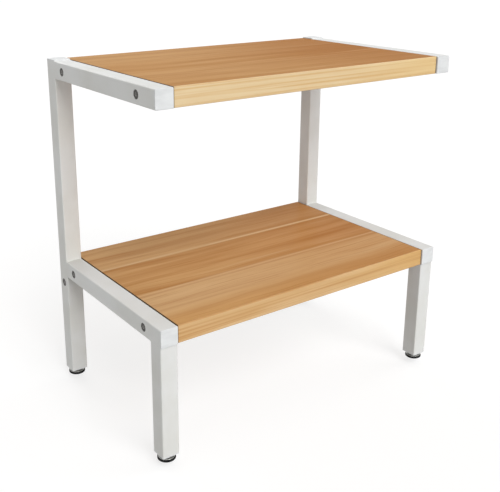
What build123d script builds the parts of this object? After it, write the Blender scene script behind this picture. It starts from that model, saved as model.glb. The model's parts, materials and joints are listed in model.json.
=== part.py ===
from build123d import *
import os
from math import cos, radians

# A two-shelf microwave stand: two welded side frames of square tube carry two thick boards, and the
# stand stands on four levelling feet. Millimetres, +X right, +Y to the back, +Z up. The origin is on
# the floor, under the middle of the stand.

# Overall sizes
stand_width = 600.0
stand_depth = 360.0
upper_shelf_top = 592.0
lower_shelf_top = 232.0

# Square tube
tube_side = 30.0
tube_wall = 1.5
tube_corner = 2.0
inner_corner_share = 0.25

# Moulded caps and plugs in the tube ends
flange_height = 2.0
skirt_depth = 14.0
skirt_wall = 1.8
plug_clearance = 0.1
cap_edge = 0.8
leg_plug_depth = 24.0

# Boards and their edge bands
board_thickness = 30.0
board_setback = 2.5
board_side_gap = 1.0
long_band = 2.0
end_band = 1.0
band_round = 1.2
band_round_share = 0.9

# Bolts that hold the boards and the stretcher, M6 with a countersunk head and a hex socket
front_bolt_inset = 53.0
rear_bolt_inset = 58.0
bolt_diameter = 6.0
bolt_length = 50.0
head_diameter = 14.0
head_land = 0.4
head_depth = 0.2
hex_key = 4.0
hex_depth = 2.6
tip_chamfer = 0.6
thread_clearance = 0.05
tip_room = 3.0

# Sleeves welded through the tubes for the bolts
sleeve_rim = 1.0
sleeve_bore = 6.6
head_clearance = 0.1
weld_clearance = 0.05

# Threaded inserts in the boards' ends, and threaded plugs in the stretcher's ends
insert_diameter = 10.0
insert_length = 20.0
insert_clearance = 0.05
end_plug_length = 12.0

# Levelling feet
foot_diameter = 30.0
foot_height = 10.0
sole_height = 4.0
sole_round = 1.2
sole_round_share = 0.45
cup_base_diameter = 27.0
cup_top_diameter = 19.0
cup_height = 3.0
cup_rim = 1.0
stud_diameter = 8.0
stud_chamfer = 0.8
stud_reach = 23.0
collar_across_flats = 13.0
collar_gap = 0.3
pin_diameter = 6.0
pin_clearance = 0.05
rivet_diameter = 9.0
rivet_height = 0.8
rivet_room = 0.2
nut_diameter = 14.0
nut_height = 10.0
nut_seat = 4.0
stud_passage = 9.0

# Cuts run past the faces that they open by this much
overrun = 1.0

# Places that follow from the sizes above
sides = {"left": -1, "right": 1}
half_width = stand_width / 2
half_depth = stand_depth / 2
frame_x = half_width - tube_side / 2
post_y = half_depth - tube_side / 2
leg_y = {"front": -half_depth + flange_height + tube_side / 2, "rear": post_y}
tube_bottom = foot_height + flange_height
bore_side = tube_side - 2 * tube_wall
bore_corner = max(tube_corner - tube_wall, tube_corner * inner_corner_share)
plug_side = bore_side - 2 * plug_clearance
arm_length = stand_depth - tube_side - flange_height
arm_y = -half_depth + flange_height + arm_length / 2
leg_top = lower_shelf_top - tube_side
board_length = stand_width - 2 * tube_side - 2 * board_side_gap
board_depth = stand_depth - board_setback
board_y = board_setback / 2
bolt_ys = (-half_depth + front_bolt_inset, half_depth - rear_bolt_inset)
shelf_tops = {"upper": upper_shelf_top, "lower": lower_shelf_top}
stretcher_z = lower_shelf_top - board_thickness - tube_side / 2
head_top = half_width - head_depth
bolt_bite = board_length / 2 - (head_top - bolt_length)
sleeve_diameter = head_diameter + 2 * (head_clearance + sleeve_rim)


def along(axis, shape):
    """Turns a shape that was made along +Z to point along another axis."""
    turns = {"+x": (0, 90, 0), "-y": (90, 0, 0)}
    return Rot(*turns[axis]) * shape


def rounded_block(side, length, corner):
    """A square bar along Z, centred, with rounded long edges."""
    bar = Box(side, side, length)
    return fillet(bar.edges().filter_by(Axis.Z), corner)


def square_tube(length):
    """A length of the square tube along Z, centred, open at both ends."""
    outside = rounded_block(tube_side, length, tube_corner)
    inside = rounded_block(bore_side, length + 2 * overrun, bore_corner)
    return outside - inside


def disc(diameter, low, high):
    """A round bar along Z from one height to another."""
    bar = Cylinder(diameter / 2, high - low, align=(Align.CENTER, Align.CENTER, Align.MIN))
    return Pos(0, 0, low) * bar


def hex_bar(across_flats, low, high):
    """A hexagonal bar along Z from one height to another."""
    outline = RegularPolygon(across_flats / 2 / cos(radians(30)), 6)
    return Pos(0, 0, low) * extrude(outline, high - low)


def sleeve_holes(places):
    """The holes for the bolt sleeves, right through a tube of a side frame, at (y, z) places."""
    reach = tube_side + 2 * overrun
    hole = along("+x", disc(sleeve_diameter + 2 * weld_clearance, -reach / 2, reach / 2))
    return [Pos(0, y, z) * hole for y, z in places]


def mirrored(side, shape):
    """A piece of the right side frame as it is, or its mirror image for the left one."""
    return shape if side == "right" else mirror(shape, Plane.YZ)


def write(name, *solids):
    """Writes one node, whose separate solids stay separate."""
    shape = solids[0] if len(solids) == 1 else Compound(children=list(solids))
    shape.label = name
    export_step(shape, f"parts/{name}.step")


def rear_post():
    """The tall post, with the hole for the stretcher's bolt."""
    length = upper_shelf_top - tube_bottom
    tube = Pos(0, post_y, tube_bottom + length / 2) * square_tube(length)
    for hole in sleeve_holes([(post_y, stretcher_z)]):
        tube -= hole
    return Pos(frame_x, 0, 0) * tube


def fore_tube(top):
    """A top arm or a lower rail: it butts against the post's front face and runs to the front."""
    middle = top - tube_side / 2
    tube = Pos(0, arm_y, middle) * along("-y", square_tube(arm_length))
    for hole in sleeve_holes([(y, middle) for y in bolt_ys]):
        tube -= hole
    return Pos(frame_x, 0, 0) * tube


def front_leg():
    """The short leg under the lower rail, flush with the front end of the rail's tube."""
    length = leg_top - tube_bottom
    return Pos(frame_x, leg_y["front"], tube_bottom + length / 2) * square_tube(length)


def end_cap():
    """A moulded cap: a flange over the tube's end and a skirt inside it, with the tube's end at Z 0."""
    flange = Pos(0, 0, flange_height / 2) * rounded_block(tube_side, flange_height, tube_corner)
    flange = fillet(flange.faces().sort_by(Axis.Z)[-1].edges(), cap_edge)
    skirt = Pos(0, 0, -skirt_depth / 2) * rounded_block(plug_side, skirt_depth, bore_corner)
    hollow_side = plug_side - 2 * skirt_wall
    hollow = Pos(0, 0, -(skirt_depth + overrun) / 2) * Box(hollow_side, hollow_side, skirt_depth + overrun)
    return flange + (skirt - hollow)


def leg_plug():
    """The square plug in the lower end of a leg, with the tube's end at Z 0 and its flange below."""
    flange = Pos(0, 0, -flange_height / 2) * rounded_block(tube_side, flange_height, tube_corner)
    body = Pos(0, 0, leg_plug_depth / 2) * rounded_block(plug_side, leg_plug_depth, bore_corner)
    passage = disc(stud_passage, -flange_height - overrun, leg_plug_depth + overrun)
    nut_room = disc(nut_diameter + 2 * insert_clearance, nut_seat, nut_seat + nut_height)
    return flange + body - passage - nut_room


def plug_nut():
    """The steel nut moulded into a leg plug."""
    bore = disc(stud_diameter + 2 * thread_clearance, nut_seat - overrun, nut_seat + nut_height + overrun)
    return disc(nut_diameter, nut_seat, nut_seat + nut_height) - bore


def countersunk(clearance, high):
    """The cone and rim of a bolt's head along Z, with its flat at Z 0, or the seat round it."""
    wide, narrow = head_diameter / 2 + clearance, bolt_diameter / 2
    cone = Cone(narrow, wide, wide - narrow, align=(Align.CENTER, Align.CENTER, Align.MAX))
    return Pos(0, 0, -head_land) * cone + disc(2 * wide, -head_land, high)


def bolt_sleeve():
    """A sleeve through a tube, along +X from the tube's inner face, countersunk at its outer end."""
    bar = disc(sleeve_diameter, 0, tube_side)
    bore = disc(sleeve_bore, -overrun, tube_side + overrun)
    seat = Pos(0, 0, tube_side - head_depth) * countersunk(head_clearance, head_depth + overrun)
    return along("+x", bar - bore - seat)


def bolt():
    """A countersunk bolt along X, with the flat of its head at X 0 and its shank towards -X."""
    shank = disc(bolt_diameter, -bolt_length, 0)
    shank = chamfer(shank.faces().sort_by(Axis.Z)[0].edges(), tip_chamfer)
    return along("+x", shank + countersunk(0, 0) - hex_bar(hex_key, -hex_depth, overrun))


def board_insert():
    """A threaded insert along X, with its outer end at X 0 and its body towards -X."""
    bar = disc(insert_diameter, -insert_length, 0)
    return along("+x", bar - disc(bolt_diameter + 2 * thread_clearance, -insert_length - overrun, overrun))


def board(top):
    """The core of a shelf board and its edge bands, of which the end bands lie over the long ones."""
    middle = top - board_thickness / 2
    bolt_z = top - tube_side / 2
    core_length = board_length - 2 * end_band
    core_depth = board_depth - 2 * long_band
    band_corner = min(band_round, band_round_share * long_band)
    core = Pos(0, board_y, middle) * Box(core_length, core_depth, board_thickness)
    insert_hole = along("+x", disc(insert_diameter + 2 * insert_clearance, -insert_length, overrun))
    insert_hole += along("+x", disc(bolt_diameter + 2 * insert_clearance, -bolt_bite - tip_room, 0))
    holes = []
    for side in sides:
        for y in bolt_ys:
            holes.append(mirrored(side, Pos(board_length / 2, y, bolt_z) * insert_hole))
    pieces = {"board": core}
    for name, way in (("front_band", -1), ("back_band", 1)):
        band = Box(core_length, long_band, board_thickness)
        face = band.faces().sort_by(Axis.Y)[0 if way < 0 else -1]
        band = fillet(face.edges().filter_by(Axis.X), band_corner)
        pieces[name] = Pos(0, board_y + way * (board_depth - long_band) / 2, middle) * band
    for name, way in sides.items():
        band = Box(end_band, board_depth, board_thickness)
        band = fillet(band.edges().filter_by(Axis.X), band_corner)
        pieces[f"{name}_band"] = Pos(way * (board_length - end_band) / 2, board_y, middle) * band
    for hole in holes:
        for name in ("board", "left_band", "right_band"):
            pieces[name] -= hole
    return pieces


def stretcher():
    """The tube between the rear posts, under the lower board."""
    tube = along("+x", square_tube(stand_width - 2 * tube_side))
    return Pos(0, post_y, stretcher_z) * tube


def stretcher_plug():
    """The threaded plug in the right end of the stretcher."""
    block = Pos(0, 0, -end_plug_length / 2) * rounded_block(plug_side, end_plug_length, bore_corner)
    block -= disc(bolt_diameter + 2 * thread_clearance, -end_plug_length - overrun, overrun)
    return Pos(half_width - tube_side, post_y, stretcher_z) * along("+x", block)


def foot_sole():
    """The rubber sole, on the floor."""
    sole = disc(foot_diameter, 0, sole_height)
    return fillet(sole.edges().filter_by(GeomType.CIRCLE), min(sole_round, sole_round_share * sole_height))


def foot_cup():
    """The pressed cup on the sole, in which the stud's riveted end turns."""
    base, top = cup_base_diameter / 2, cup_top_diameter / 2
    low, high = sole_height, sole_height + cup_height
    outline = Polyline((0, low), (base, low), (base, low + cup_rim), (top, high), (0, high), close=True)
    cup = revolve(Plane.XZ * make_face(outline), Axis.Z)
    cup -= disc(pin_diameter + 2 * pin_clearance, low - overrun, high + overrun)
    return cup - disc(rivet_diameter + 2 * rivet_room, low - overrun, low + rivet_height + 2 * rivet_room)


def foot_stud():
    """The stud: a riveted pin in the cup, a hex collar to turn it by, and the thread above."""
    pin_top = sole_height + cup_height
    collar_low = pin_top + rivet_room
    collar_high = foot_height - collar_gap
    rivet_low = sole_height + rivet_room
    stud = disc(rivet_diameter, rivet_low, rivet_low + rivet_height)
    stud += disc(pin_diameter, rivet_low, collar_low)
    stud += hex_bar(collar_across_flats, collar_low, collar_high)
    thread = disc(stud_diameter, collar_low, foot_height + stud_reach)
    return stud + chamfer(thread.faces().sort_by(Axis.Z)[-1].edges(), stud_chamfer)


os.makedirs("parts", exist_ok=True)

for side in sides:
    write(f"{side}_rear_post", mirrored(side, rear_post()))
    write(f"{side}_top_arm", mirrored(side, fore_tube(upper_shelf_top)))
    write(f"{side}_lower_rail", mirrored(side, fore_tube(lower_shelf_top)))
    write(f"{side}_front_leg", mirrored(side, front_leg()))
    write(f"{side}_post_cap", mirrored(side, Pos(frame_x, post_y, upper_shelf_top) * end_cap()))
    for name, top in (("arm", upper_shelf_top), ("rail", lower_shelf_top)):
        place = Pos(frame_x, -half_depth + flange_height, top - tube_side / 2)
        write(f"{side}_{name}_cap", mirrored(side, place * along("-y", end_cap())))

for shelf, top in shelf_tops.items():
    bolt_z = top - tube_side / 2
    for name, piece in board(top).items():
        write(f"{shelf}_{name}", piece)
    inserts, bolts, sleeves = [], [], []
    for side in sides:
        for y in bolt_ys:
            inserts.append(mirrored(side, Pos(board_length / 2, y, bolt_z) * board_insert()))
            bolts.append(mirrored(side, Pos(head_top, y, bolt_z) * bolt()))
            sleeves.append(mirrored(side, Pos(half_width - tube_side, y, bolt_z) * bolt_sleeve()))
    write(f"{shelf}_board_inserts", *inserts)
    write(f"{shelf}_board_bolts", *bolts)
    write(f"{shelf}_bolt_sleeves", *sleeves)

write("rear_stretcher", stretcher())
write("stretcher_plugs", *[mirrored(side, stretcher_plug()) for side in sides])
stretcher_bolt = Pos(head_top, post_y, stretcher_z) * bolt()
write("stretcher_bolts", *[mirrored(side, stretcher_bolt) for side in sides])
stretcher_sleeve = Pos(half_width - tube_side, post_y, stretcher_z) * bolt_sleeve()
write("stretcher_bolt_sleeves", *[mirrored(side, stretcher_sleeve) for side in sides])

nuts = []
for end, y in leg_y.items():
    for side, way in sides.items():
        leg = Pos(way * frame_x, y, 0)
        write(f"{end}_{side}_leg_plug", leg * Pos(0, 0, tube_bottom) * leg_plug())
        write(f"{end}_{side}_foot_sole", leg * foot_sole())
        write(f"{end}_{side}_foot_cup", leg * foot_cup())
        write(f"{end}_{side}_foot_stud", leg * foot_stud())
        nuts.append(leg * Pos(0, 0, tube_bottom) * plug_nut())
write("leg_plug_nuts", *nuts)
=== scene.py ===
import json
import math
import bmesh
import bpy
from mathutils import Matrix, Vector


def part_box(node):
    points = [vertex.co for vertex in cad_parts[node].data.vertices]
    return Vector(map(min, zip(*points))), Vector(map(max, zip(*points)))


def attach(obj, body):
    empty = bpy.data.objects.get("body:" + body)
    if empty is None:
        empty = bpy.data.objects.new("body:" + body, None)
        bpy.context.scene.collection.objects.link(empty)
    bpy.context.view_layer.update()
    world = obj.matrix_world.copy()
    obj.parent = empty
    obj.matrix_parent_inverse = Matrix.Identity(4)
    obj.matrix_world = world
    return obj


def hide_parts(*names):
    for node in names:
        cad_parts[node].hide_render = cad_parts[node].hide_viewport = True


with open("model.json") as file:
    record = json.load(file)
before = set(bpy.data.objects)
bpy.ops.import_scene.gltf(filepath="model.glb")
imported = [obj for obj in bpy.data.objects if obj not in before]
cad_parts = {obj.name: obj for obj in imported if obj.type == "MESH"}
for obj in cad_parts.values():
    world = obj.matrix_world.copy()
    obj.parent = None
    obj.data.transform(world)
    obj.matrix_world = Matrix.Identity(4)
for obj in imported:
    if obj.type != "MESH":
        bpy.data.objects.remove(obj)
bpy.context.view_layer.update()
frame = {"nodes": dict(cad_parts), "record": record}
nodes = frame["nodes"]
mm = 0.001
sides = {"left": -1, "right": 1}
ends = ("front", "rear")
print("frame loaded,", len(nodes), "nodes")


# node wiring

class Wire:
    # a socket that can stand in a sum, where each operation adds a Math node
    def __init__(self, sheet, socket):
        self.sheet = sheet
        self.socket = socket

    def math(self, operation, first, second):
        return self.sheet.add("ShaderNodeMath", {"operation": operation}, {0: first, 1: second})

    def __add__(self, other):
        return self.math("ADD", self, other)

    def __radd__(self, other):
        return self.math("ADD", other, self)

    def __sub__(self, other):
        return self.math("SUBTRACT", self, other)

    def __rsub__(self, other):
        return self.math("SUBTRACT", other, self)

    def __mul__(self, other):
        return self.math("MULTIPLY", self, other)

    def __rmul__(self, other):
        return self.math("MULTIPLY", other, self)

    def __truediv__(self, other):
        return self.math("DIVIDE", self, other)

    def __abs__(self):
        return self.math("ABSOLUTE", self, 0)

    def other(self, name):
        # another output of the same node
        return Wire(self.sheet, self.socket.node.outputs[name])


class NodeSheet:
    def __init__(self, tree):
        self.tree = tree

    def add(self, kind, settings, inputs, out=0):
        made = self.tree.nodes.new(kind)
        for key, value in settings.items():
            if key == "stops":
                self.setStops(made.color_ramp.elements, value)
            elif key == "ramp":
                made.color_ramp.interpolation = value
            else:
                setattr(made, key, value)
        for key, value in inputs.items():
            self.feed(made.inputs[key], value)
        return Wire(self, made.outputs[out])

    def setStops(self, elements, stops):
        while len(elements) < len(stops):
            elements.new(1.0)
        for element, (place, colour) in zip(elements, stops):
            element.position = place
            element.color = colour

    def feed(self, socket, value):
        if isinstance(value, Wire):
            self.tree.links.new(value.socket, socket)
        else:
            socket.default_value = value

    def objectPlace(self):
        return self.add("ShaderNodeTexCoord", {}, {}, "Object")

    def stretched(self, place, scale):
        return self.add("ShaderNodeMapping", {}, {"Vector": place, "Scale": scale})

    def noise(self, place, scale=1.0, detail=2.0, rough=0.5, seed=0.0, bend=0.0):
        values = {"Vector": place, "W": seed, "Scale": scale, "Detail": detail}
        values.update({"Roughness": rough, "Distortion": bend})
        return self.add("ShaderNodeTexNoise", {"noise_dimensions": "4D"}, values)

    def window(self, value, low, high):
        # 0 below the first level, 1 above the second, smooth between
        values = {"Value": value, "From Min": low, "From Max": high}
        return self.add("ShaderNodeMapRange", {"interpolation_type": "SMOOTHSTEP"}, values)

    def mixed(self, share, first, second):
        # sockets 6 and 7 take the two colours, output 2 gives the mixed one
        return self.add("ShaderNodeMix", {"data_type": "RGBA"}, {0: share, 6: first, 7: second}, 2)

    def bumped(self, height, strength, distance):
        values = {"Height": height, "Strength": strength, "Distance": distance}
        return self.add("ShaderNodeBump", {}, values)


class Finish(NodeSheet):
    def __init__(self, name, **fixed):
        self.material = bpy.data.materials.new(name)
        self.material.use_nodes = True
        super().__init__(self.material.node_tree)
        self.shader = self.tree.nodes["Principled BSDF"]
        for key, value in fixed.items():
            self.shader.inputs[key.replace("_", " ")].default_value = value

    def give(self, **wires):
        for key, value in wires.items():
            self.feed(self.shader.inputs[key.replace("_", " ")], value)
        return self.material


def tint(red, green, blue):
    # a screen colour, 0 to 255, as the shader's linear colour
    def linear(level):
        share = level / 255
        return share / 12.92 if share <= 0.04045 else ((share + 0.055) / 1.055) ** 2.4
    return (linear(red), linear(green), linear(blue), 1.0)


# finishes

paintLook = {
    "pale": tint(224, 225, 224),
    "deep": tint(216, 216, 212),
    "cloudScale": 9.0,
    "peelScale": 620.0,
    "peelDepth": 0.00012,
    "speck": tint(150, 150, 146),
    "speckScale": 2300.0,
    "speckShare": 0.10,
    "roughness": 0.40,
}


def makePaint():
    look = paintLook
    fin = Finish("white_powder_coat", Specular_IOR_Level=0.35)
    place = fin.objectPlace()
    cloud = fin.noise(place, look["cloudScale"], 3.0, 0.55)
    peel = fin.noise(place, look["peelScale"], 2.0, 0.5, 3.0)
    speck = fin.window(fin.noise(place, look["speckScale"], 1.0, 0.5, 8.0), 0.70, 0.80)
    colour = fin.mixed(fin.window(cloud, 0.35, 0.68), look["pale"], look["deep"])
    colour = fin.mixed(speck * look["speckShare"], colour, look["speck"])
    rough = look["roughness"] + 0.10 * (cloud - 0.5) + 0.06 * (peel - 0.5)
    return fin.give(Base_Color=colour, Roughness=rough, Normal=fin.bumped(peel, 0.35, look["peelDepth"]))


capLook = {
    "pale": tint(224, 226, 227),
    "deep": tint(212, 214, 215),
    "sparkScale": 1500.0,
    "sparkDepth": 0.00008,
    "flowStretch": (30, 30, 90),
    "roughness": 0.50,
}


def makeCapPlastic():
    look = capLook
    fin = Finish("moulded_white_plastic", Specular_IOR_Level=0.40)
    place = fin.objectPlace()
    spark = fin.noise(place, look["sparkScale"], 2.0, 0.6)
    flow = fin.noise(fin.stretched(place, look["flowStretch"]), 1.0, 2.0, 0.5, 2.0)
    colour = fin.mixed(fin.window(flow, 0.35, 0.70), look["pale"], look["deep"])
    rough = look["roughness"] + 0.16 * (spark - 0.5)
    bump = fin.bumped(spark, 0.30, look["sparkDepth"])
    return fin.give(Base_Color=colour, Roughness=rough, Normal=bump)


# the print on a board: three staves across its depth, each with its own grain
boardPrint = {
    "depth": 0.36,
    "joints": (-0.054, 0.0745),
    "seedSpread": 40,
    # how each layer of the grain is stretched
    "driftStretch": (3.2, 7, 7),
    "cloudStretch": (2.6, 13, 13),
    "streakStretch": (2.2, 50, 50),
    "threadStretch": (6.0, 300, 300),
    "poreStretch": (55, 1500, 1500),
    "sway": 0.030,
    # the tone changes from the left end to the right one: warmer towards the right, and paler at the left,
    # which is partly the print's tone and partly a painted sheen; the paleness fades to the front edge
    "toneAndSheenLeftToRight": (-0.20, 0.28),
    "frontFade": (-0.168, -0.110),
    "hairShare": 0.42,
    "poreShare": 0.30,
    # a light line at each joint of two staves, with a darker edge just in front of it
    "fadeStretch": (7, 30, 30),
    "lineWave": 0.002,
    "lineWidth": (0.0052, 0.0012),
    "shadeOff": 0.007,
    "shadeWidth": (0.006, 0.001),
    "bumpDepth": 0.00010,
}


def makeWood(name, look):
    size = boardPrint
    fin = Finish(name, Specular_IOR_Level=look["gloss"])
    place = fin.objectPlace()
    apart = fin.add("ShaderNodeSeparateXYZ", {}, {"Vector": place}, "X")
    length, depth, height = apart, apart.other("Y"), apart.other("Z")
    across = (depth + size["depth"] / 2) / size["depth"]
    shares = [(joint + size["depth"] / 2) / size["depth"] for joint in size["joints"]]
    stops = list(zip((0.0, *shares), look["staves"]))
    stave = fin.add("ShaderNodeValToRGB", {"ramp": "CONSTANT", "stops": stops}, {"Fac": across})
    tone = fin.add("ShaderNodeSeparateColor", {}, {"Color": stave}, "Red")
    figure = tone.other("Green")
    seed = tone.other("Blue") * size["seedSpread"] + look["seed"]
    palenessAndPaintedLight = stave.other("Alpha")

    # the grain wanders slowly along the board
    drift = fin.noise(fin.stretched(place, size["driftStretch"]), 1.0, 2.0, 0.5, seed)
    swung = depth + size["sway"] * (drift - 0.5)
    line = fin.add("ShaderNodeCombineXYZ", {}, {"X": length, "Y": swung, "Z": height})
    cloud = fin.noise(fin.stretched(line, size["cloudStretch"]), 1.0, 3.0, 0.55, seed)
    streak = fin.noise(fin.stretched(line, size["streakStretch"]), 1.0, 3.0, 0.56, seed, 0.25)
    thread = fin.noise(fin.stretched(line, size["threadStretch"]), 1.0, 3.0, 0.60, seed)
    pore = fin.noise(fin.stretched(line, size["poreStretch"]), 1.0, 2.0, 0.5, seed)

    bands = fin.window(streak, 0.40, 0.72) * figure
    hair = fin.window(thread, 0.50, 0.74)
    dash = fin.window(pore, 0.60, 0.72) * fin.window(thread, 0.42, 0.60)
    colour = fin.mixed(fin.window(cloud, 0.30, 0.70), look["pale"], look["middle"])
    side = fin.window(length, *size["toneAndSheenLeftToRight"])
    inward = fin.window(depth, *size["frontFade"])
    warmth = tone * (0.25 + 1.5 * side) + side * look["lean"]
    # paler towards the left end: partly the print's tone, partly a painted sheen
    pale = palenessAndPaintedLight * (1.2 - 0.6 * side) * (0.2 + 0.8 * inward)
    colour = fin.mixed(warmth, colour, look["warm"])
    colour = fin.mixed(pale, colour, look["light"])
    colour = fin.mixed(bands, colour, look["streak"])
    colour = fin.mixed(hair * size["hairShare"], colour, look["streak"])
    colour = fin.mixed(fin.window(streak, 0.44, 0.30) * look["flash"], colour, look["light"])
    colour = fin.mixed(dash * size["poreShare"], colour, look["pore"])

    # the joints of the staves, stronger in some places than in others
    fade = fin.window(fin.noise(fin.stretched(place, size["fadeStretch"]), 1.0, 2.0, 0.5, 5.0), 0.15, 0.50)
    for joint, light, shade in zip(size["joints"], look["jointLight"], look["jointShade"]):
        away = abs(depth - joint + size["lineWave"] * (cloud - 0.5))
        beside = abs(depth - (joint - size["shadeOff"]))
        shaded = fin.window(beside, *size["shadeWidth"]) * shade * fade
        lined = fin.window(away, *size["lineWidth"]) * light * fade
        colour = fin.mixed(shaded, colour, look["streak"])
        colour = fin.mixed(lined, colour, look["light"])

    rough = look["roughness"] + 0.10 * (hair - 0.5) + 0.15 * dash + 0.05 * (cloud - 0.5)
    relief = 0.5 - 0.8 * dash - 0.25 * hair
    bump = fin.bumped(relief, 0.25, size["bumpDepth"])
    return fin.give(Base_Color=colour, Roughness=rough, Normal=bump)


# staves from front to rear: warmth, strength of the figure, seed, paleness; on the lower board the paleness
# is partly painted light
upperWood = {
    "seed": 3.0,
    "staves": [(0, 0.35, 0.20, 0.05), (0.08, 0.40, 0.55, 0), (0.12, 0.30, 0.85, 0.20)],
    "pale": tint(206, 160, 109),
    "middle": tint(195, 146, 93),
    "warm": tint(173, 113, 55),
    "streak": tint(161, 105, 53),
    "light": tint(213, 173, 124),
    "pore": tint(120, 72, 34),
    "lean": 0.72,
    "flash": 0.30,
    "jointLight": (0.15, 0.25),
    "jointShade": (0.12, 0.10),
    "roughness": 0.36,
    "gloss": 0.001,
}
# the lower board's print is paler, most of all on its rear stave: partly the print's tone, partly painted
# light that offsets the shade the upper board casts on it
lowerWoodWithPaintedLight = {
    "seed": 11.0,
    "staves": [(0.12, 0.35, 0.15, 0.62), (0.28, 0.65, 0.50, 0.22), (0.30, 0.35, 0.90, 0.40)],
    "pale": tint(209, 160, 101),
    "middle": tint(194, 141, 79),
    "warm": tint(174, 109, 50),
    "streak": tint(166, 103, 41),
    "light": tint(218, 182, 137),
    "pore": tint(126, 78, 38),
    "lean": 0.22,
    "flash": 0.30,
    "jointLight": (0.25, 0.95),
    "jointShade": (0.30, 0.10),
    "roughness": 0.34,
    "gloss": 0.012,
}


# the print on the long edge bands
edgePrint = {
    "waveStretch": (1.8, 1.8, 210),
    "fineStretch": (14, 14, 1100),
    "cloudStretch": (6, 6, 60),
    "goldenFrom": (0.0, 0.28),
    "goldenShare": 0.60,
    "waveShare": 0.80,
    "fineShare": 0.35,
    "roughness": 0.40,
    "bumpDepth": 0.00006,
}


def makeEdging(name, look):
    # paler band with soft lines that run the way of the board's edge
    size = edgePrint
    seed = look["seed"]
    fin = Finish(name, Specular_IOR_Level=0.30)
    place = fin.objectPlace()
    along = fin.add("ShaderNodeSeparateXYZ", {}, {"Vector": place}, "X")
    wave = fin.noise(fin.stretched(place, size["waveStretch"]), 1.0, 3.0, 0.58, seed)
    fine = fin.noise(fin.stretched(place, size["fineStretch"]), 1.0, 2.0, 0.55, seed)
    cloud = fin.noise(fin.stretched(place, size["cloudStretch"]), 1.0, 2.0, 0.5, seed)
    golden = fin.window(along, *size["goldenFrom"]) * size["goldenShare"]
    colour = fin.mixed(fin.window(cloud, 0.30, 0.70), look["pale"], look["middle"])
    colour = fin.mixed(golden, colour, look["golden"])
    colour = fin.mixed(fin.window(wave, 0.44, 0.68) * size["waveShare"], colour, look["line"])
    colour = fin.mixed(fin.window(fine, 0.55, 0.72) * size["fineShare"], colour, look["line"])
    rough = size["roughness"] + 0.10 * (fine - 0.5)
    bump = fin.bumped(wave + fine, 0.15, size["bumpDepth"])
    return fin.give(Base_Color=colour, Roughness=rough, Normal=bump)


upperEdge = {
    "seed": 2.0,
    "pale": tint(224, 201, 160),
    "middle": tint(218, 190, 146),
    "golden": tint(226, 193, 131),
    "line": tint(207, 166, 108),
}
lowerEdge = {
    "seed": 7.0,
    "pale": tint(216, 181, 134),
    "middle": tint(206, 166, 114),
    "golden": tint(212, 166, 95),
    "line": tint(188, 136, 76),
}


# dark brown board ends: a painted shade that stands in for the narrow shaded gap between each board's end
# and its tube
endGapShadeLook = {
    "pale": tint(112, 82, 50),
    "deep": tint(84, 58, 34),
    "grainStretch": (600, 9, 420),
    "grainDepth": 0.00006,
    "roughness": 0.55,
}


def makeEndEdgingGapShade():
    look = endGapShadeLook
    fin = Finish("dark_end_edging_gap_shade", Specular_IOR_Level=0.20)
    place = fin.objectPlace()
    grain = fin.noise(fin.stretched(place, look["grainStretch"]), 1.0, 3.0, 0.6)
    colour = fin.mixed(fin.window(grain, 0.35, 0.68), look["pale"], look["deep"])
    rough = look["roughness"] + 0.15 * (grain - 0.5)
    bump = fin.bumped(grain, 0.15, look["grainDepth"])
    return fin.give(Base_Color=colour, Roughness=rough, Normal=bump)


markDepth = 0.00004


def makeMetal(name, look):
    fin = Finish(name, Metallic=1.0)
    place = fin.objectPlace()
    blotch = fin.noise(place, look["blotchScale"], 3.0, 0.6, look["seed"])
    mark = fin.noise(fin.stretched(place, look["markStretch"]), 1.0, 2.0, 0.5, look["seed"] + 5)
    colour = fin.mixed(fin.window(blotch, 0.34, 0.68), look["pale"], look["deep"])
    # a painted highlight where the mesh marks it
    if "paintedHighlight" in look:
        wear = fin.add("ShaderNodeAttribute", {"attribute_name": "wear"}, {}, "Fac")
        colour = fin.mixed(wear * look["paintedHighlightShare"], colour, look["paintedHighlight"])
    rough = look["roughness"] + 0.22 * (blotch - 0.5) + 0.14 * (mark - 0.5)
    return fin.give(Base_Color=colour, Roughness=rough, Normal=fin.bumped(mark, 0.20, markDepth))


boltLook = {
    "pale": tint(78, 76, 73),
    "deep": tint(52, 50, 48),
    # the bright colour of the socket's painted highlight
    "paintedHighlight": tint(182, 181, 178),
    "paintedHighlightShare": 0.9,
    "blotchScale": 420.0,
    "markStretch": (300, 1800, 1800),
    "roughness": 0.42,
    "seed": 1.0,
}
insertLook = {
    "pale": tint(186, 178, 150),
    "deep": tint(158, 148, 118),
    "blotchScale": 500.0,
    "markStretch": (1500, 300, 300),
    "roughness": 0.40,
    "seed": 4.0,
}
cupLook = {
    "pale": tint(190, 190, 186),
    "deep": tint(160, 160, 154),
    "blotchScale": 260.0,
    "markStretch": (200, 200, 2600),
    "roughness": 0.34,
    "seed": 6.0,
}
studLook = {
    "pale": tint(178, 178, 174),
    "deep": tint(146, 146, 140),
    "blotchScale": 420.0,
    "markStretch": (300, 300, 2400),
    "roughness": 0.36,
    "seed": 9.0,
}

rubberLook = {
    "pale": tint(34, 34, 35),
    "deep": tint(18, 18, 19),
    "bloomScale": 160.0,
    "grainScale": 2600.0,
    "grainDepth": 0.00010,
    "roughness": 0.66,
}


def makeRubber():
    look = rubberLook
    fin = Finish("black_rubber", Specular_IOR_Level=0.12)
    place = fin.objectPlace()
    bloom = fin.noise(place, look["bloomScale"], 3.0, 0.6)
    grain = fin.noise(place, look["grainScale"], 2.0, 0.6, 2.0)
    colour = fin.mixed(fin.window(bloom, 0.40, 0.72), look["deep"], look["pale"])
    rough = look["roughness"] + 0.20 * (bloom - 0.5) + 0.10 * (grain - 0.5)
    bump = fin.bumped(grain, 0.35, look["grainDepth"])
    return fin.give(Base_Color=colour, Roughness=rough, Normal=bump)


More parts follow.
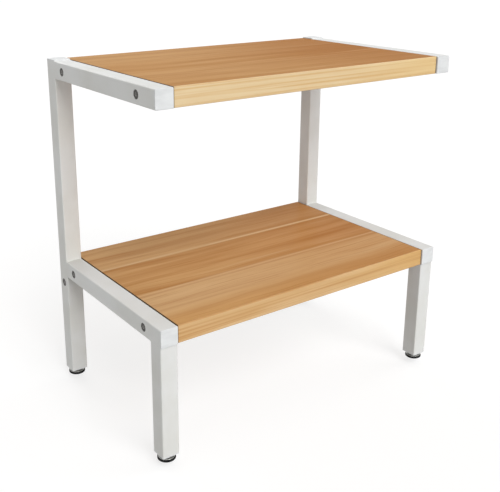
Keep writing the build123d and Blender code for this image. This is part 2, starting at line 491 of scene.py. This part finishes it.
finishes = {
    "powder_coat": makePaint(),
    "cap_plastic": makeCapPlastic(),
    "upper_laminate": makeWood("honey_laminate_upper", upperWood),
    "lower_laminate": makeWood("honey_laminate_lower", lowerWoodWithPaintedLight),
    "upper_edging": makeEdging("pale_edging_upper", upperEdge),
    "lower_edging": makeEdging("pale_edging_lower", lowerEdge),
    "end_edging": makeEndEdgingGapShade(),
    "bolt_steel": makeMetal("dark_bolt_steel", boltLook),
    "zinc_insert": makeMetal("yellow_zinc", insertLook),
    "cup_steel": makeMetal("pressed_zinc_cup", cupLook),
    "stud_steel": makeMetal("zinc_stud", studLook),
    "sole_rubber": makeRubber(),
}
print("finishes made:", len(finishes))


# which finish each part of the frame takes
nodeFinish = {part["node"]: part["material_slot"] for part in frame["record"]["subparts"]}
for nodeName, node in nodes.items():
    node.data.materials.clear()
    node.data.materials.append(finishes[nodeFinish[nodeName]])
print("frame dressed:", len(nodeFinish))


# modelling helpers

mergeGap = 0.002 * mm  # vertices closer than this are merged


def deselectAll():
    if bpy.context.mode != "OBJECT":
        bpy.ops.object.mode_set(mode="OBJECT")
    bpy.ops.object.select_all(action="DESELECT")


def openEdit(piece):
    deselectAll()
    piece.select_set(True)
    bpy.context.view_layer.objects.active = piece
    bpy.ops.object.mode_set(mode="EDIT")
    bpy.ops.mesh.select_all(action="SELECT")


def closeEdit(piece, name, angle):
    bpy.ops.mesh.select_all(action="SELECT")
    bpy.ops.mesh.remove_doubles(threshold=mergeGap)
    bpy.ops.mesh.normals_make_consistent(inside=False)
    bpy.ops.object.mode_set(mode="OBJECT")
    piece.name = name
    piece.data.name = name
    bpy.ops.object.shade_smooth_by_angle(angle=math.radians(angle))


def pick(piece, kind, test):
    # selects the faces, edges or vertices that pass a test on their place or normal
    bpy.ops.mesh.select_mode(type=kind)
    bpy.ops.mesh.select_all(action="DESELECT")
    shape = bmesh.from_edit_mesh(piece.data)
    items = {"FACE": shape.faces, "EDGE": shape.edges, "VERT": shape.verts}[kind]
    for item in items:
        if test(item):
            item.select_set(True)
    bmesh.update_edit_mesh(piece.data)


def pullOut(move, scale=None, centre=None):
    bpy.ops.mesh.extrude_region_move(TRANSFORM_OT_translate={"value": move})
    if scale:
        bpy.ops.transform.resize(value=scale, center_override=centre)


def drawLine(points):
    # a plane merged to one point, then drawn out along a profile of (radius, height) in mm
    deselectAll()
    bpy.ops.mesh.primitive_plane_add(size=0.01, location=(0, 0, 0))
    piece = bpy.context.object
    openEdit(piece)
    bpy.ops.mesh.select_mode(type="VERT")
    bpy.ops.mesh.merge(type="CENTER")
    path = [Vector((radius * mm, 0, height * mm)) for radius, height in points]
    bpy.ops.transform.translate(value=path[0])
    for here, there in zip(path, path[1:]):
        pullOut(there - here)
    return piece


def spunPiece(name, points, steps):
    piece = drawLine(points)
    bpy.ops.mesh.select_all(action="SELECT")
    bpy.ops.mesh.spin(steps=steps, angle=2 * math.pi, center=(0, 0, 0), axis=(0, 0, 1))
    closeEdit(piece, name, 35)
    return piece


def applyAll(piece):
    for modifier in list(piece.modifiers):
        bpy.ops.object.modifier_apply(modifier=modifier.name)


def joined(name, parts):
    deselectAll()
    for part in parts:
        part.select_set(True)
    bpy.context.view_layer.objects.active = parts[0]
    if len(parts) > 1:
        bpy.ops.object.join()
    piece = bpy.context.object
    piece.name = name
    piece.data.name = name
    return piece


def copyTo(piece, name, place, turn=(0, 0, 0)):
    # a copy with its own mesh, moved in its mesh so that the object stays at the origin
    deselectAll()
    piece.select_set(True)
    bpy.context.view_layer.objects.active = piece
    bpy.ops.object.duplicate(linked=False)
    copy = bpy.context.object
    copy.location = place
    copy.rotation_euler = turn
    bpy.ops.object.transform_apply(location=True, rotation=True, scale=True)
    copy.name = name
    copy.data.name = name
    return copy


def dress(piece, slot, body, *stoodFor):
    piece.data.materials.clear()
    piece.data.materials.append(finishes[slot])
    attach(piece, body)
    if stoodFor:
        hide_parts(*stoodFor)


def discard(*pieces):
    for piece in pieces:
        bpy.data.objects.remove(piece)


# levelling feet

footShape = {
    "steps": 72,
    "coreSteps": 40,
    # profiles in (radius, height), mm above the sole's underside
    "sole": [(0, 0.9), (4.0, 0.9), (4.3, 0.1), (4.5, 0), (5.6, 0), (5.8, 0.1), (6.1, 0.9), (7.7, 0.9),
             (8.0, 0.1), (8.2, 0), (9.3, 0), (9.5, 0.1), (9.8, 0.9), (11.2, 0.9), (11.5, 0.1), (11.7, 0),
             (13.6, 0), (14.3, 0.18), (14.8, 0.6), (15.0, 1.2), (15.0, 1.9), (14.65, 2.1), (14.65, 2.4),
             (15.0, 2.6), (15.0, 3.1), (14.8, 3.6), (14.35, 3.92), (13.9, 4.0), (0, 4.0)],
    "cup": [(3.05, 7.0), (8.3, 7.0), (8.9, 6.94), (9.35, 6.78), (9.75, 6.52), (12.55, 5.3), (12.9, 5.18),
            (13.25, 5.06), (13.45, 4.86), (13.5, 4.6), (13.5, 4.3), (13.4, 4.08), (13.2, 4.0), (4.7, 4.0),
            (4.7, 5.2), (3.05, 5.2), (3.05, 7.0)],
    "core": [(0, 4.2), (4.3, 4.2), (4.5, 4.4), (4.5, 4.8), (4.3, 5.0), (3.0, 5.0), (3.0, 7.3), (3.28, 7.3),
             (3.28, 32.3), (3.2, 32.45), (2.7, 33.0), (0, 33.0)],
}

studThread = {
    "pitch": 1.25,
    "turns": 18,
    "low": 9.2,
    "root": 3.15,
    "crest": 3.97,
    "rootHalf": 0.56,
    "crestHalf": 0.08,
    "steps": 30,
    # how far below its top end the thread is drawn in, again and again, and to what share
    "runOut": (1.0, 0.6, 0.3),
    "drawIn": 0.94,
}

hexCollar = {
    "acrossFlats": 13.0,
    "low": 7.2,
    "high": 9.7,
    "lip": 0.75,
    "drop": 0.32,
    "edge": 0.12,
}


def makeThread(size):
    root, crest, low = size["root"], size["crest"], size["low"]
    rootHalf, crestHalf = size["rootHalf"], size["crestHalf"]
    ridge = drawLine([(root, low - rootHalf), (crest, low - crestHalf),
                      (crest, low + crestHalf), (root, low + rootHalf)])
    pick(ridge, "VERT", lambda vert: vert.co.x < (root + 0.1) * mm)
    bpy.ops.mesh.edge_face_add()
    bpy.ops.object.mode_set(mode="OBJECT")
    screw = ridge.modifiers.new("thread", "SCREW")
    screw.axis = "Z"
    screw.screw_offset = size["pitch"] * mm
    screw.iterations = size["turns"]
    screw.steps = size["steps"]
    screw.render_steps = size["steps"]
    applyAll(ridge)
    openEdit(ridge)
    bpy.ops.mesh.remove_doubles(threshold=mergeGap)
    bpy.ops.mesh.select_mode(type="EDGE")
    bpy.ops.mesh.select_all(action="DESELECT")
    bpy.ops.mesh.select_non_manifold()
    bpy.ops.mesh.fill_holes(sides=4)
    tip = low + size["pitch"] * size["turns"]
    drawIn = size["drawIn"]
    for drop in size["runOut"]:
        pick(ridge, "VERT", lambda vert: vert.co.z > (tip - drop) * mm)
        bpy.ops.transform.resize(value=(drawIn, drawIn, 1), center_override=(0, 0, tip * mm))
    closeEdit(ridge, "thread", 30)
    return ridge


def makeCollar():
    size = hexCollar
    low = size["low"] * mm
    high = size["high"] * mm
    corner = size["acrossFlats"] / 2 / math.cos(math.radians(30)) * mm
    deselectAll()
    bpy.ops.mesh.primitive_cylinder_add(
        vertices=6, radius=corner, depth=high - low, location=(0, 0, (low + high) / 2))
    collar = bpy.context.object
    bpy.ops.object.transform_apply(location=True, rotation=True, scale=True)
    openEdit(collar)
    for way in (-1, 1):
        level = high if way > 0 else low
        pick(collar, "FACE", lambda face: face.normal.z * way > 0.9)
        bpy.ops.mesh.inset(thickness=size["lip"] * mm)
        pick(collar, "VERT", lambda vert: abs(vert.co.z - level) < 0.01 * mm
             and vert.co.xy.length > corner - 0.1 * mm)
        bpy.ops.transform.translate(value=(0, 0, -way * size["drop"] * mm))
    closeEdit(collar, "collar", 25)
    soften = collar.modifiers.new("edge", "BEVEL")
    soften.width = size["edge"] * mm
    soften.segments = 2
    applyAll(collar)
    return collar


def makeFeet():
    sole = spunPiece("sole", footShape["sole"], footShape["steps"])
    cup = spunPiece("cup", footShape["cup"], footShape["steps"])
    core = spunPiece("core", footShape["core"], footShape["coreSteps"])
    stud = joined("stud", [core, makeThread(studThread), makeCollar()])
    for end in ends:
        for side in sides:
            leg = f"{end}_{side}"
            low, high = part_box(f"{leg}_foot_sole")
            place = Vector(((low.x + high.x) / 2, (low.y + high.y) / 2, low.z))
            for model, what, slot, body in (
                    (sole, "sole", "sole_rubber", "foot"),
                    (cup, "cup", "cup_steel", "foot"),
                    (stud, "stud", "stud_steel", "stud")):
                piece = copyTo(model, f"{leg}_{what}", place)
                dress(piece, slot, f"{leg}_{body}", f"{leg}_foot_{what}")
    discard(sole, cup, stud)


makeFeet()
print("feet made")


# countersunk bolts

boltShape = {
    "steps": 48,
    # from the tip to the socket's rim: (radius, height) in mm, with the flat of the head at 0
    "profile": [(0, -50.0), (2.25, -50.0), (2.6, -49.4), (2.6, -18.0), (2.97, -17.6), (2.97, -4.43),
                (6.86, -0.54), (6.97, -0.40), (7.0, -0.28), (6.97, -0.14), (6.88, -0.05), (6.74, 0),
                (2.75, 0)],
    "hexKey": 4.0,
    "hexDip": 0.25,
    "hexDepth": 2.6,
    "drillDip": 0.7,
    "drillShare": 0.1,
}

boltThread = {
    "pitch": 1.0,
    "turns": 30,
    "low": -48.7,
    "root": 2.5,
    "crest": 2.97,
    "rootHalf": 0.44,
    "crestHalf": 0.07,
    "steps": 24,
    "runOut": (),
    "drawIn": 1.0,
}


def makeBolt():
    size = boltShape
    bolt = spunPiece("head", size["profile"], size["steps"])
    rim = size["profile"][-1][0] * mm
    dip = size["hexDip"] * mm
    corner = size["hexKey"] / 2 / math.cos(math.radians(30)) * mm
    # the socket: a hexagon below the rim, bridged to it, and its hole with a drilled bottom
    openEdit(bolt)
    bpy.ops.mesh.primitive_circle_add(vertices=6, radius=corner, fill_type="NOTHING", location=(0, 0, -dip))
    pick(bolt, "EDGE", lambda edge: all(
        vert.co.z > -1.1 * dip and vert.co.xy.length < 1.01 * rim for vert in edge.verts))
    bpy.ops.mesh.bridge_edge_loops()
    pick(bolt, "EDGE", lambda edge: all(
        abs(vert.co.z + dip) < 0.1 * dip and vert.co.xy.length < 1.01 * corner for vert in edge.verts))
    pullOut((0, 0, dip - size["hexDepth"] * mm))
    bpy.ops.mesh.edge_face_add()
    bpy.ops.mesh.select_mode(type="FACE")
    small = size["drillShare"]
    bottom = -(size["hexDepth"] + size["drillDip"]) * mm
    pullOut((0, 0, -size["drillDip"] * mm), (small, small, 1), (0, 0, bottom))
    closeEdit(bolt, "head", 32)
    # the socket is painted bright: a painted highlight on its walls
    paintedHighlight = bolt.data.attributes.new("wear", "FLOAT", "POINT")
    for vert, mark in zip(bolt.data.vertices, paintedHighlight.data):
        inSocket = vert.co.xy.length < 1.02 * corner and vert.co.z > 1.05 * bottom
        mark.value = 1.0 if inSocket else 0.0
    return joined("bolt", [bolt, makeThread(boltThread)])


def makeBolts():
    model = makeBolt()
    radius = max(point[0] for point in boltShape["profile"]) * mm
    for node in ("upper_board_bolts", "lower_board_bolts", "stretcher_bolts"):
        low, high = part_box(node)
        level = (low.z + high.z) / 2
        near, far = low.y + radius, high.y - radius
        rows = [near, far] if far - near > radius else [(near + far) / 2]
        parts = []
        for way in sides.values():
            for row in rows:
                part = copyTo(model, "part", (way * high.x, row, level), (0, way * math.pi / 2, 0))
                parts.append(part)
        dress(joined(f"{node}_made", parts), "bolt_steel", "stand", node)
    discard(model)


makeBolts()
print("bolts made")


# welds of the side frames

beadShape = {
    "radius": 2.2,
    "off": 0.9,
    "ripples": 11,
    "pitch": 2.1,
    "sides": 14,
    # one ripple: share of its pitch, girth
    "ripple": [(0.25, 1.05), (0.30, 1.09), (0.30, 1.0), (0.15, 0.93)],
    # girth changes a little from ripple to ripple
    "sway": 0.03,
    "swayStep": 2.3,
    # the two ends: first girth, then length in mm and girth
    "startGirth": 0.55,
    "lead": (0.9, 0.90),
    "tail": [(0.6, 0.80), (0.5, 0.45)],
}

seamShape = {
    "wide": 2.5,
    "deep": 2.0,
    "under": 0.03,
    "cuts": 22,
    "tuckIn": 0.8,
    # how much shorter than the joint, and the marks of the grinder
    "short": 1.0,
    "grindScale": 0.004,
    "grindDepth": 0.10,
}


def makeBead():
    size = beadShape
    wide = size["startGirth"]
    here = -(size["ripples"] * size["pitch"] / 2 + size["lead"][0])
    deselectAll()
    bpy.ops.mesh.primitive_circle_add(
        vertices=size["sides"], radius=size["radius"] * mm * wide, fill_type="NGON",
        rotation=(0, math.pi / 2, 0))
    bead = bpy.context.object
    bpy.ops.object.transform_apply(location=True, rotation=True, scale=True)
    openEdit(bead)
    bpy.ops.mesh.select_mode(type="FACE")
    bpy.ops.mesh.select_all(action="SELECT")
    bpy.ops.transform.translate(value=(here * mm, 0, 0))
    steps = [size["lead"]]
    for ripple in range(size["ripples"]):
        sway = 1 + size["sway"] * math.sin(size["swayStep"] * ripple)
        steps += [(share * size["pitch"], girth * sway) for share, girth in size["ripple"]]
    steps += size["tail"]
    for move, girth in steps:
        here += move
        grow = girth / wide
        pullOut((move * mm, 0, 0), (1, grow, grow), (here * mm, 0, 0))
        wide = girth
    closeEdit(bead, "bead", 50)
    return bead


def makeSeam(length):
    # a ground weld that fills the groove beside a tube's rounded edge: along Z, its face towards +X
    size = seamShape
    deep, wide = size["deep"] * mm, size["wide"] * mm
    deselectAll()
    bpy.ops.mesh.primitive_cube_add(size=1, location=(0, 0, 0))
    seam = bpy.context.object
    seam.scale = (deep, wide, length)
    seam.location = (-(deep / 2 + size["under"] * mm), wide / 2, 0)
    bpy.ops.object.transform_apply(location=True, rotation=True, scale=True)
    openEdit(seam)
    # the far inner edge goes in, which leaves a wedge
    pick(seam, "VERT", lambda vert: vert.co.x < -deep / 2 and vert.co.y > wide / 2)
    bpy.ops.transform.translate(value=(size["tuckIn"] * deep, 0, 0))
    pick(seam, "EDGE", lambda edge: abs(edge.verts[0].co.z - edge.verts[1].co.z) > length / 2)
    bpy.ops.mesh.subdivide(number_cuts=size["cuts"])
    closeEdit(seam, "seam", 40)
    cloud = bpy.data.textures.new("grind", "CLOUDS")
    cloud.noise_scale = size["grindScale"]
    uneven = seam.modifiers.new("grind", "DISPLACE")
    uneven.texture = cloud
    uneven.texture_coords = "LOCAL"
    uneven.direction = "X"
    uneven.mid_level = 1.0
    uneven.strength = size["grindDepth"] * mm
    applyAll(seam)
    return seam


def flipped(piece):
    # the mirror image across Y, so that the half turn to the other side keeps the wedge on the post
    openEdit(piece)
    bpy.ops.transform.resize(value=(1, -1, 1), center_override=(0, 0, 0))
    bpy.ops.mesh.normals_make_consistent(inside=False)
    bpy.ops.object.mode_set(mode="OBJECT")
    return piece


def sideSeam(length, way):
    seam = makeSeam(length - seamShape["short"] * mm)
    return flipped(seam) if way < 0 else seam


def makeWelds():
    bead = makeBead()
    off = beadShape["off"] * mm
    for side, way in sides.items():
        postLow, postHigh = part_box(f"{side}_rear_post")
        armLow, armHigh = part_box(f"{side}_top_arm")
        railLow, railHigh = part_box(f"{side}_lower_rail")
        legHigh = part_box(f"{side}_front_leg")[1]
        middle = (postLow.x + postHigh.x) / 2
        corners = {
            "arm": (middle, postLow.y - off, armLow.z - off),
            "rail": (middle, postLow.y - off, railLow.z - off),
            "leg": (middle, legHigh.y + off, railLow.z - off),
        }
        for where, place in corners.items():
            piece = copyTo(bead, f"{side}_{where}_weld_bead", place)
            dress(piece, "powder_coat", "stand")
        face = way * max(abs(postLow.x), abs(postHigh.x))
        turn = 0 if way > 0 else math.pi
        for where, low, high in (("arm", armLow, armHigh), ("rail", railLow, railHigh)):
            seam = sideSeam(high.z - low.z, way)
            place = (face, postLow.y, (low.z + high.z) / 2)
            piece = copyTo(seam, f"{side}_{where}_seam", place, (0, 0, turn))
            dress(piece, "powder_coat", "stand")
            discard(seam)
        # the seam over the leg lies along the rail
        seam = sideSeam(legHigh.y - railLow.y, way)
        piece = copyTo(seam, f"{side}_leg_seam", (0, 0, 0), (0, 0, turn))
        deselectAll()
        piece.select_set(True)
        bpy.context.view_layer.objects.active = piece
        piece.rotation_euler = (math.pi / 2, 0, 0)
        piece.location = (face, (legHigh.y + railLow.y) / 2, railLow.z)
        bpy.ops.object.transform_apply(location=True, rotation=True, scale=True)
        dress(piece, "powder_coat", "stand")
        discard(seam)
    discard(bead)


makeWelds()
print("welds made")


# floor, light and camera

studio = {
    "floorSize": 60.0,
    # just below the soles when the feet are screwed right out, so that they show at every height
    "floorLevel": -12.1,
    "floorGlow": 0.70,
    "floorCatch": 0.36,
    "floorBounce": 0.40,
    "ambient": 0.34,
    "ambientTint": (1.0, 0.985, 0.95, 1.0),
}

# soft lamps: degrees round from the front (+ is right), degrees up, level, softness in degrees
lamps = {
    "key_light": (-4, 43, 0.53, 34),
    "left_fill": (-60, 4, 0.22, 24),
    "front_fill": (16, 4, 0.29, 30),
    "right_light": (75, 38, 0.17, 40),
    "back_light": (180, 28, 0.22, 40),
}


def seenDirectly(sheet):
    parts = [sheet.add("ShaderNodeLightPath", {}, {}, ray) for ray in (
        "Is Camera Ray", "Is Glossy Ray", "Is Transmission Ray")]
    return parts[0] + parts[1] + parts[2]


def makeFloor():
    deselectAll()
    level = studio["floorLevel"] * mm
    bpy.ops.mesh.primitive_plane_add(size=studio["floorSize"], location=(0, 0, level))
    floor = bpy.context.object
    floor.name = "studio_floor"
    material = bpy.data.materials.new("studio_white")
    material.use_nodes = True
    sheet = NodeSheet(material.node_tree)
    sheet.tree.nodes.clear()
    catch = studio["floorCatch"]
    bounce = studio["floorBounce"]
    lit = sheet.add("ShaderNodeBsdfDiffuse", {}, {"Color": (catch, catch, catch, 1)})
    glow = sheet.add("ShaderNodeEmission", {}, {"Color": (1, 1, 1, 1), "Strength": studio["floorGlow"]})
    shown = sheet.add("ShaderNodeAddShader", {}, {0: lit, 1: glow})
    plain = sheet.add("ShaderNodeBsdfDiffuse", {}, {"Color": (bounce, bounce, bounce, 1)})
    mix = sheet.add("ShaderNodeMixShader", {}, {0: seenDirectly(sheet), 1: plain, 2: shown})
    output = sheet.tree.nodes.new("ShaderNodeOutputMaterial")
    sheet.feed(output.inputs["Surface"], mix)
    floor.data.materials.append(material)


def makeWorld():
    world = bpy.data.worlds.new("studio")
    bpy.context.scene.world = world
    world.use_nodes = True
    sheet = NodeSheet(world.node_tree)
    sheet.tree.nodes.clear()
    ambient = {"Color": studio["ambientTint"], "Strength": studio["ambient"]}
    around = sheet.add("ShaderNodeBackground", {}, ambient)
    white = sheet.add("ShaderNodeBackground", {}, {"Color": (1, 1, 1, 1), "Strength": 1.0})
    mix = sheet.add("ShaderNodeMixShader", {}, {0: seenDirectly(sheet), 1: around, 2: white})
    output = sheet.tree.nodes.new("ShaderNodeOutputWorld")
    sheet.feed(output.inputs["Surface"], mix)


def makeLamps():
    for name, (turn, up, level, soft) in lamps.items():
        deselectAll()
        bpy.ops.object.light_add(type="SUN", location=(0, 0, 2))
        lamp = bpy.context.object
        lamp.name = name
        lamp.data.energy = level * math.pi
        lamp.data.angle = math.radians(soft)
        lamp.rotation_euler = (math.radians(90 - up), 0, math.radians(turn))


cameraSet = {
    "eye": (-0.8331, -1.0939, 0.7749),
    "yaw": 35.14,
    "pitch": -17.0,
    "sensor": 36.0,
    "lens": 57.0,
    "shift": (0.0562, -0.115),
}


def makeCamera():
    deselectAll()
    tilt = math.radians(90 + cameraSet["pitch"])
    turn = math.radians(-cameraSet["yaw"])
    bpy.ops.object.camera_add(location=cameraSet["eye"], rotation=(tilt, 0, turn))
    camera = bpy.context.object
    camera.name = "photo_camera"
    camera.data.sensor_width = cameraSet["sensor"]
    camera.data.lens = cameraSet["lens"]
    camera.data.shift_x, camera.data.shift_y = cameraSet["shift"]
    bpy.context.scene.camera = camera


makeFloor()
makeWorld()
makeLamps()
makeCamera()
bpy.context.scene.view_settings.view_transform = "Standard"
print("studio ready")
